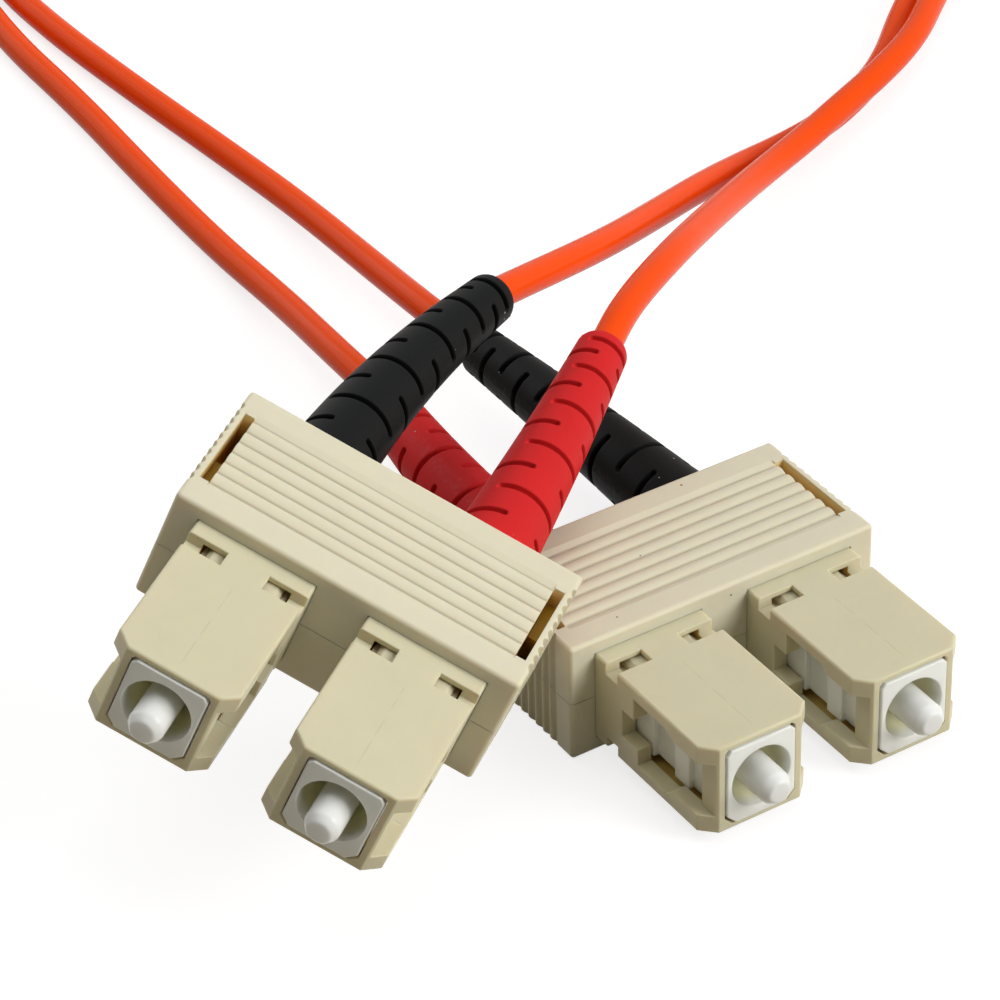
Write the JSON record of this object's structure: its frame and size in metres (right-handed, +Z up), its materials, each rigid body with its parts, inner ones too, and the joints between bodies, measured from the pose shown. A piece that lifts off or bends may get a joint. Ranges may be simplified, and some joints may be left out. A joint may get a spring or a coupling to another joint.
{
  "type": "fibre optic patch cable",
  "caption": "Duplex fibre optic patch cable: square push-pull plugs clipped in pairs, slotted boots in red and black, and orange twin cord coiled between the ends.",
  "frame": {"origin": "on the surface, below the centre of the box round the two connectors with their boots", "axes": "+Z up, -Y the way the plugs of the level connector point, +X along its clip"},
  "size_m": [0.1438, 0.1736, 0.0261],
  "materials": {
    "housing_beige": "satin moulded",
    "clip_beige": "satin moulded",
    "frame_white": "satin moulded",
    "ferrule_ceramic": "polished",
    "nickel": "plated",
    "spring_steel": "drawn",
    "fibre_coating": "smooth",
    "boot_red": "matte",
    "boot_black": "matte",
    "cord_orange": "semi gloss",
    "tie_black": "woven"
  },
  "bodies": {
    "cord_and_plugs": {"cord_leg_a_black": "cord_orange", "cord_leg_a_red": "cord_orange", "cord_leg_b_red": "cord_orange", "cord_leg_b_black": "cord_orange", "cord_coil": "cord_orange", "coil_tie": "tie_black", "boot_a_black": "boot_black", "boot_a_red": "boot_red", "boot_b_red": "boot_red", "boot_b_black": "boot_black", "plug_frame_a_black": "frame_white", "rear_body_a_black": "nickel", "crimp_sleeve_a_black": "nickel", "spring_a_black": "spring_steel", "plug_frame_a_red": "frame_white", "rear_body_a_red": "nickel", "crimp_sleeve_a_red": "nickel", "spring_a_red": "spring_steel", "plug_frame_b_red": "frame_white", "rear_body_b_red": "nickel", "crimp_sleeve_b_red": "nickel", "spring_b_red": "spring_steel", "plug_frame_b_black": "frame_white", "rear_body_b_black": "nickel", "crimp_sleeve_b_black": "nickel", "spring_b_black": "spring_steel"},
    "grip_a": {"clip_upper_a": "clip_beige", "clip_lower_a": "clip_beige", "outer_housing_a_black": "housing_beige", "outer_housing_a_red": "housing_beige"},
    "grip_b": {"clip_upper_b": "clip_beige", "clip_lower_b": "clip_beige", "outer_housing_b_red": "housing_beige", "outer_housing_b_black": "housing_beige"},
    "ferrule_unit_a_black": {"ferrule_a_black": "ferrule_ceramic", "ferrule_flange_a_black": "nickel", "buffered_fibre_a_black": "fibre_coating"},
    "ferrule_unit_a_red": {"ferrule_a_red": "ferrule_ceramic", "ferrule_flange_a_red": "nickel", "buffered_fibre_a_red": "fibre_coating"},
    "ferrule_unit_b_red": {"ferrule_b_red": "ferrule_ceramic", "ferrule_flange_b_red": "nickel", "buffered_fibre_b_red": "fibre_coating"},
    "ferrule_unit_b_black": {"ferrule_b_black": "ferrule_ceramic", "ferrule_flange_b_black": "nickel", "buffered_fibre_b_black": "fibre_coating"}
  },
  "joints": [
    {"name": "grip_a_slide", "type": "slide", "parent": "cord_and_plugs", "child": "grip_a", "axis": [0.7976, 0.6032, 0], "range_m": [-0.0005, 0.0014]},
    {"name": "grip_b_slide", "type": "slide", "parent": "cord_and_plugs", "child": "grip_b", "axis": [0, 1, 0], "range_m": [-0.0005, 0.0014]},
    {"name": "ferrule_a_black_slide", "type": "slide", "parent": "cord_and_plugs", "child": "ferrule_unit_a_black", "axis": [0.7976, 0.6032, 0], "range_m": [0, 0.001], "stiffness_N_per_m": 200, "deforming": ["spring_a_black"]},
    {"name": "ferrule_a_red_slide", "type": "slide", "parent": "cord_and_plugs", "child": "ferrule_unit_a_red", "axis": [0.7976, 0.6032, 0], "range_m": [0, 0.001], "stiffness_N_per_m": 200, "deforming": ["spring_a_red"]},
    {"name": "ferrule_b_red_slide", "type": "slide", "parent": "cord_and_plugs", "child": "ferrule_unit_b_red", "axis": [0, 1, 0], "range_m": [0, 0.001], "stiffness_N_per_m": 200, "deforming": ["spring_b_red"]},
    {"name": "ferrule_b_black_slide", "type": "slide", "parent": "cord_and_plugs", "child": "ferrule_unit_b_black", "axis": [0, 1, 0], "range_m": [0, 0.001], "stiffness_N_per_m": 200, "deforming": ["spring_b_black"]}
  ]
}
